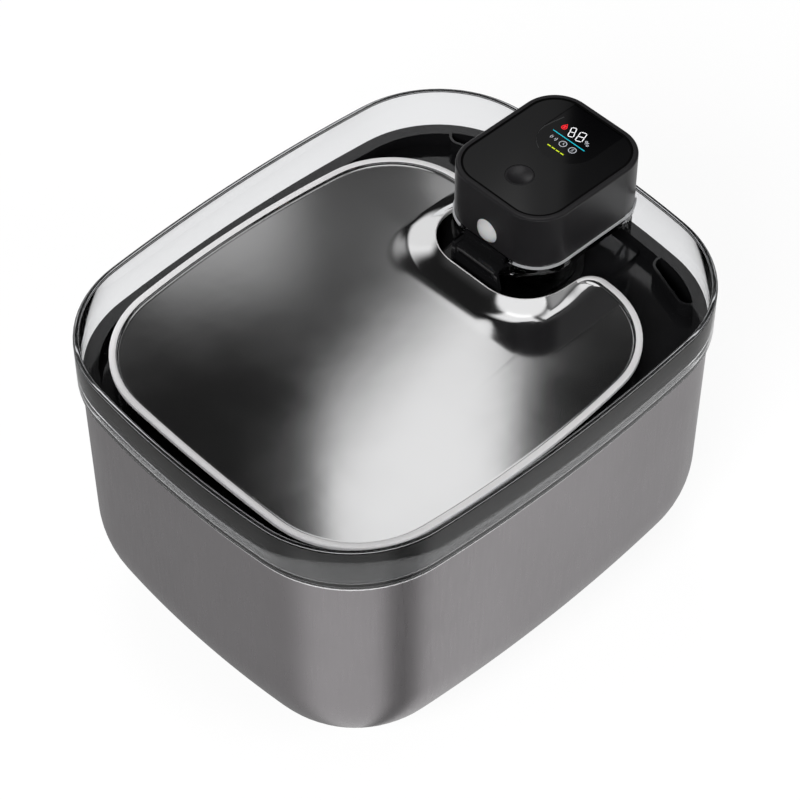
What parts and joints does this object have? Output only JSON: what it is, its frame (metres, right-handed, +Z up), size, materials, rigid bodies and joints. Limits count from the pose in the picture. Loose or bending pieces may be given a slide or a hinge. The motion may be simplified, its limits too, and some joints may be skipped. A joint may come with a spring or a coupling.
{
  "type": "pet water fountain",
  "caption": "Pet water fountain: steel tank, clear collar, filter deck, notched steel drinking tray and a lift-out pump column with waterfall spout and battery head.",
  "frame": {"origin": "on the floor, under the middle of the footprint", "axes": "+Z up, +X along the length towards the pump end, +Y across"},
  "size_m": [0.26, 0.2134, 0.1907],
  "materials": {
    "satin_steel": "brushed stainless steel, satin",
    "mirror_steel": "polished stainless steel",
    "clear_smoke": "clear smoke-tinted plastic, glossy",
    "black_gloss": "glossy black moulded plastic",
    "black_satin": "satin black moulded plastic",
    "black_rubber": "soft black silicone",
    "panel_black": "satin-gloss black panel",
    "window_black": "high-gloss dark display window",
    "lens_white": "milky white sensor lens",
    "white_plastic": "white moulded plastic",
    "filter_cotton": "white filter cotton",
    "filter_carbon": "activated carbon bed",
    "filter_foam": "open-cell foam",
    "ferrite": "ferrite and laminated core",
    "copper": "enamelled copper winding",
    "board_green": "circuit board",
    "cell_wrap": "heat-shrunk cell wrap",
    "screw_steel": "zinc-plated screw steel",
    "ceramic": "ceramic shaft"
  },
  "bodies": {
    "tank": {"tank_shell": "satin_steel", "tank_feet": "black_rubber"},
    "collar": {"collar": "clear_smoke", "rim_seal": "black_rubber"},
    "deck": {"deck": "black_gloss", "filter_basket": "black_gloss", "tray_pads": "black_rubber"},
    "tray": {"drinking_tray": "mirror_steel"},
    "filter": {"filter_frame": "white_plastic", "filter_lid": "white_plastic", "cotton_pad": "filter_cotton", "carbon_bed": "filter_carbon", "filter_foam": "filter_foam"},
    "pump": {"neck_tube": "clear_smoke", "neck_seal": "black_rubber", "cradle": "clear_smoke", "spout": "black_gloss", "riser_tube": "clear_smoke", "receiver_cup": "black_gloss", "receiver_coil": "copper", "receiver_board": "board_green", "pump_housing": "black_satin", "stator_core": "ferrite", "stator_winding": "copper", "volute_cover": "black_satin", "impeller_shaft": "ceramic", "top_bush": "black_rubber", "inlet_strainer": "black_satin", "inlet_sponge": "filter_foam"},
    "impeller": {"impeller": "white_plastic", "rotor_magnet": "ferrite"},
    "head": {"head_shell": "black_satin", "top_panel": "panel_black", "display_window": "window_black", "display_module": "white_plastic", "main_board": "board_green", "button_switch": "black_satin", "motion_lens": "lens_white", "motion_sensor": "screw_steel", "battery_cells": "cell_wrap", "battery_holder": "black_satin", "head_base": "black_satin", "head_seal": "black_rubber", "base_screws": "screw_steel", "transmitter_coil": "copper", "charge_socket": "screw_steel"},
    "button": {"power_button": "black_satin"},
    "port_cover": {"port_flap": "black_rubber"}
  },
  "joints": [
    {"name": "collar_lift", "type": "slide", "parent": "tank", "child": "collar", "axis": [0, 0, 1], "range_m": [0, 0.12]},
    {"name": "deck_lift", "type": "slide", "parent": "collar", "child": "deck", "axis": [0, 0, 1], "range_m": [0, 0.1]},
    {"name": "tray_lift", "type": "slide", "parent": "deck", "child": "tray", "axis": [0, 0, 1], "range_m": [0, 0.12]},
    {"name": "filter_lift", "type": "slide", "parent": "deck", "child": "filter", "axis": [0, 0, 1], "range_m": [0, 0.048]},
    {"name": "pump_lift", "type": "slide", "parent": "deck", "child": "pump", "axis": [0, 0, 1], "range_m": [0, 0.1]},
    {"name": "impeller_spin", "type": "hinge", "parent": "pump", "child": "impeller", "pos_m": [0.0749, 0, 0.06], "axis": [0, 0, 1], "continuous": true},
    {"name": "head_lift", "type": "slide", "parent": "pump", "child": "head", "axis": [0, 0, 1], "range_m": [0, 0.06]},
    {"name": "button_press", "type": "slide", "parent": "head", "child": "button", "axis": [0, 0, -1], "range_m": [0, 0.0008], "stiffness_N_per_m": 500, "springref_m": -0.0003},
    {"name": "port_open", "type": "hinge", "parent": "head", "child": "port_cover", "pos_m": [0.1289, 0, 0.178], "axis": [0, 1, 0], "range_deg": [0, 110]}
  ],
  "couplings": [
    {"joint": "filter_lift", "follows": "tray_lift", "ratio": 0.4}
  ]
}
